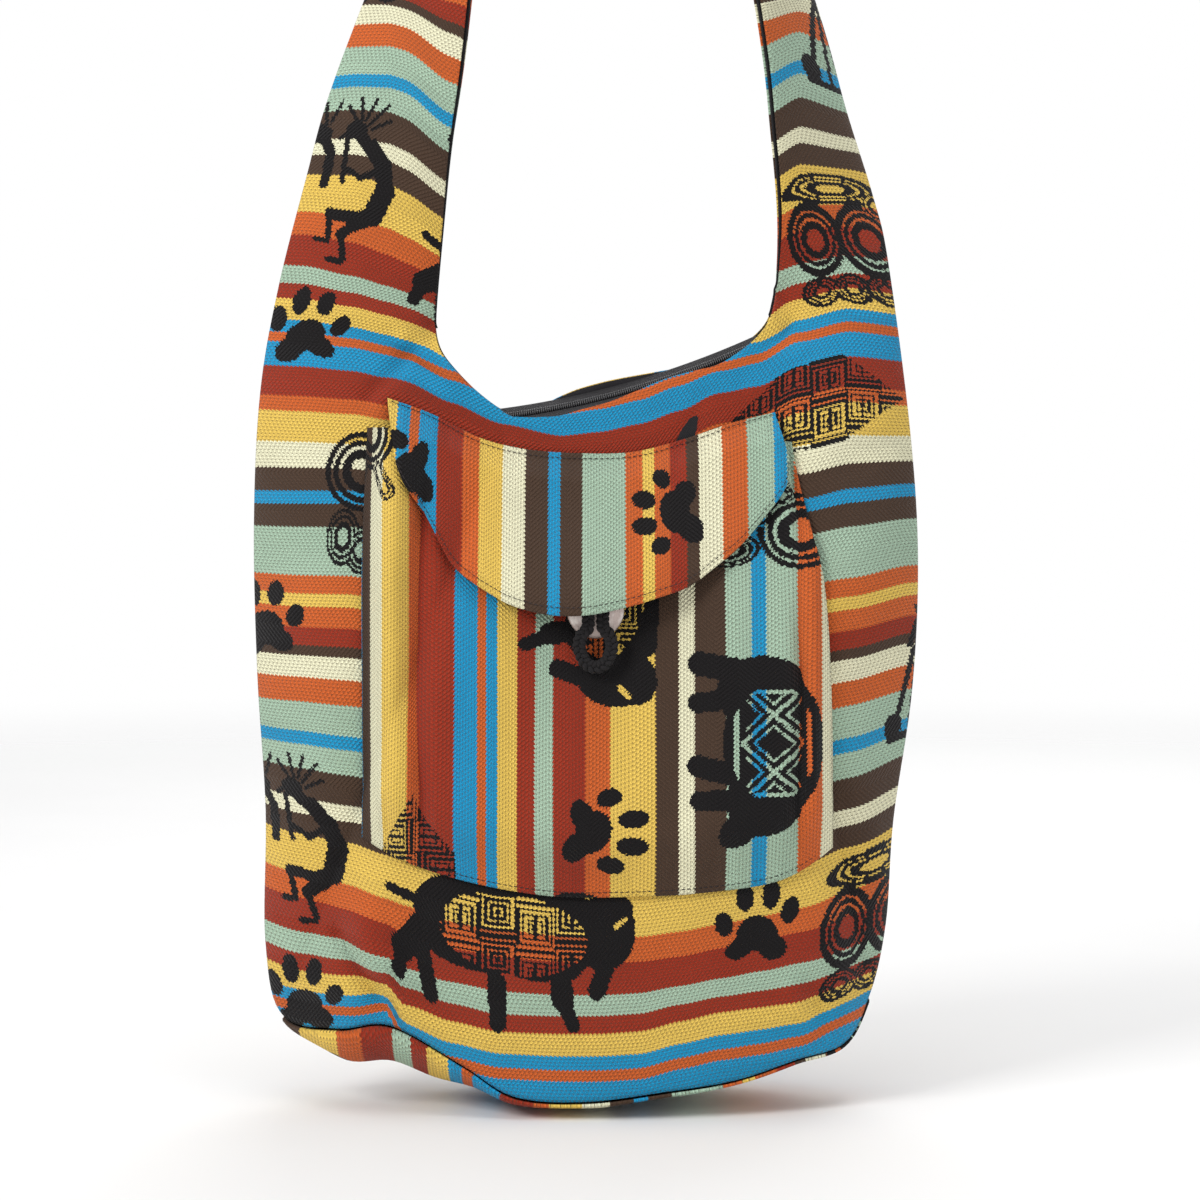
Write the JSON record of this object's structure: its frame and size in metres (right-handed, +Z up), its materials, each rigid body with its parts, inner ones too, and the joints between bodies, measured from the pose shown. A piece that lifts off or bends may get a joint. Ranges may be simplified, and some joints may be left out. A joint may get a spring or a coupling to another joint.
{
  "type": "hobo sling shoulder bag",
  "caption": "Soft striped cloth shoulder bag with one wide cloth strap, a zip mouth, a convex oval base and a flapped patch pocket with cord loop and round button.",
  "frame": {"origin": "the middle of the flat underside of the strap's crown, where the bag hangs on a hook, peg or hand", "axes": "+Z up, -Y the front with the pocket, +X to the right as seen from the front"},
  "size_m": [0.3797, 0.1365, 0.8851],
  "materials": {
    "striped_cloth": "herringbone twill in orange, rust, yellow, cream, sage, blue and brown stripes with black woven figures",
    "lining_cloth": "plain black cotton lining",
    "zip_tape": "black woven zip tape",
    "zip_coil": "black nylon coil",
    "zip_metal": "black lacquered metal",
    "button_metal": "domed silvered metal, lightly worn",
    "cord": "black braided cord"
  },
  "bodies": {
    "bag": {"front_panel": "striped_cloth", "back_panel": "striped_cloth", "base_panel": "striped_cloth", "pocket": "striped_cloth", "flap": "striped_cloth", "flap_lining": "lining_cloth", "lining_front": "lining_cloth", "lining_back": "lining_cloth", "lining_base": "lining_cloth", "strap_lining": "lining_cloth", "zip_tape_front": "zip_tape", "zip_tape_back": "zip_tape", "zip_coil_front": "zip_coil", "zip_coil_back": "zip_coil", "zip_top_stop_front": "zip_metal", "zip_top_stop_back": "zip_metal", "zip_bottom_stop": "zip_metal", "button": "button_metal", "button_shank": "cord", "flap_loop": "cord"},
    "slider": {"zip_slider": "zip_metal"},
    "pull": {"zip_pull": "zip_metal"}
  },
  "joints": [
    {"name": "zip_travel", "type": "hinge", "parent": "bag", "child": "slider", "pos_m": [-0.126, 0, 0.0358], "axis": [0, -1, 0], "range_deg": [0, 16.8]},
    {"name": "pull_swing", "type": "hinge", "parent": "slider", "child": "pull", "pos_m": [-0.06716, -0.00152, -0.48329], "axis": [-0.044, 0.9205, 0.3882], "range_deg": [0, 150]}
  ]
}
